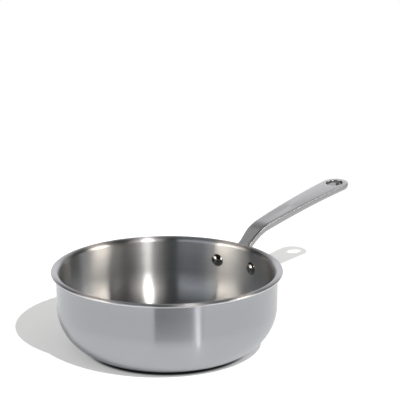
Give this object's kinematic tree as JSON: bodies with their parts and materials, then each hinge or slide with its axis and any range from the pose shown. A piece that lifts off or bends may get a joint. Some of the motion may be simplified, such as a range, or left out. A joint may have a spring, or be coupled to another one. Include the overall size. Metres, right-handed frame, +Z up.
{
  "type": "saucier pan",
  "caption": "Stainless clad saucier pan with rounded sides, a flared pouring lip and a riveted cast stick handle with a hang hole.",
  "frame": {"origin": "centre of the vessel's flat underside, on the plane that the pan stands on", "axes": "+Z up along the vessel's axis, +X from the vessel's axis along the handle"},
  "size_m": [0.4319, 0.2444, 0.1228],
  "materials": {
    "cooking_steel": "circular brushed, polished",
    "outer_steel": "satin",
    "bond_alloy": "bonded",
    "core_aluminium": "bonded",
    "cast_steel": "fine cross-brushed, polished edges",
    "rivet_steel": "polished"
  },
  "bodies": {
    "root": {"cooking_skin": "cooking_steel", "inner_alloy_layer": "bond_alloy", "core": "core_aluminium", "outer_alloy_layer": "bond_alloy", "outer_skin": "outer_steel", "handle": "cast_steel", "rivet_left": "rivet_steel", "rivet_right": "rivet_steel"}
  },
  "joints": []
}
